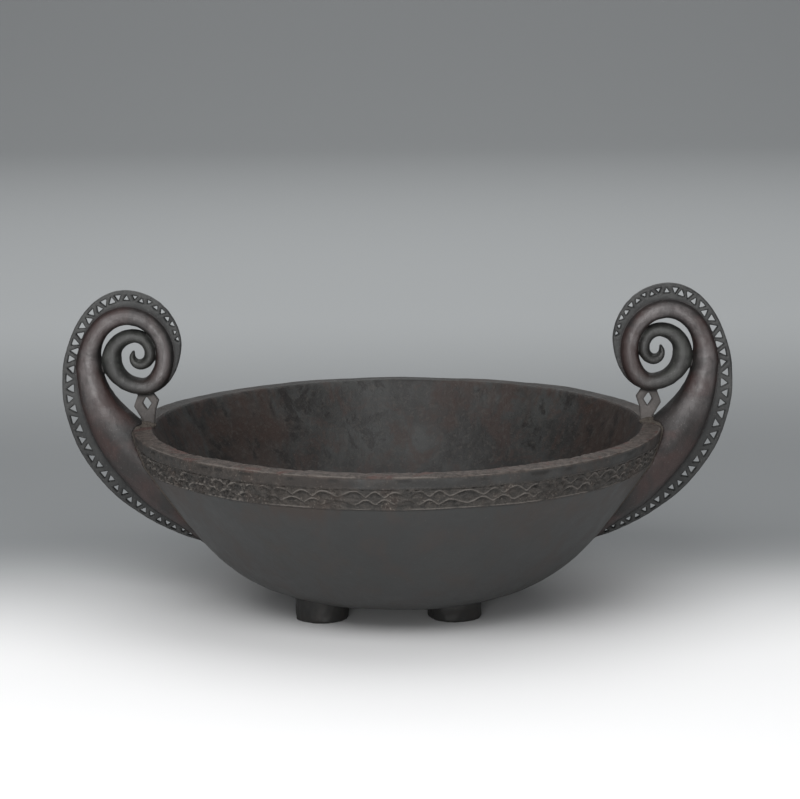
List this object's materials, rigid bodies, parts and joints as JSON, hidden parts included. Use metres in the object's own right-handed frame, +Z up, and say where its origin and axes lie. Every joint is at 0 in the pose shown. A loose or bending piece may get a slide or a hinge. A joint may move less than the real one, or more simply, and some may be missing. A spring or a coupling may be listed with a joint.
{
  "type": "carved wooden feast bowl",
  "caption": "Round carved wooden feast bowl on stub feet, with a carved zigzag band under the rim and tall scroll handles with pierced crests.",
  "frame": {"origin": "on the ground under the middle of the bowl, midway between the handles", "axes": "+X runs through both handles, +Y runs across them, +Z is up"},
  "size_m": [0.936, 0.738, 0.4475],
  "materials": {
    "bowl_wood": "dark oiled hardwood, satin, worn brown on the rim",
    "handle_wood": "dark red-brown oiled hardwood, polished by handling",
    "nut_paste": "hardened brown nut paste, matt and crumbly"
  },
  "bodies": {
    "root": {"bowl": "bowl_wood", "handle_left": "handle_wood", "handle_right": "handle_wood", "bed_paste_left": "nut_paste", "bed_paste_right": "nut_paste", "strut_paste_left": "nut_paste", "strut_paste_right": "nut_paste"}
  },
  "joints": []
}
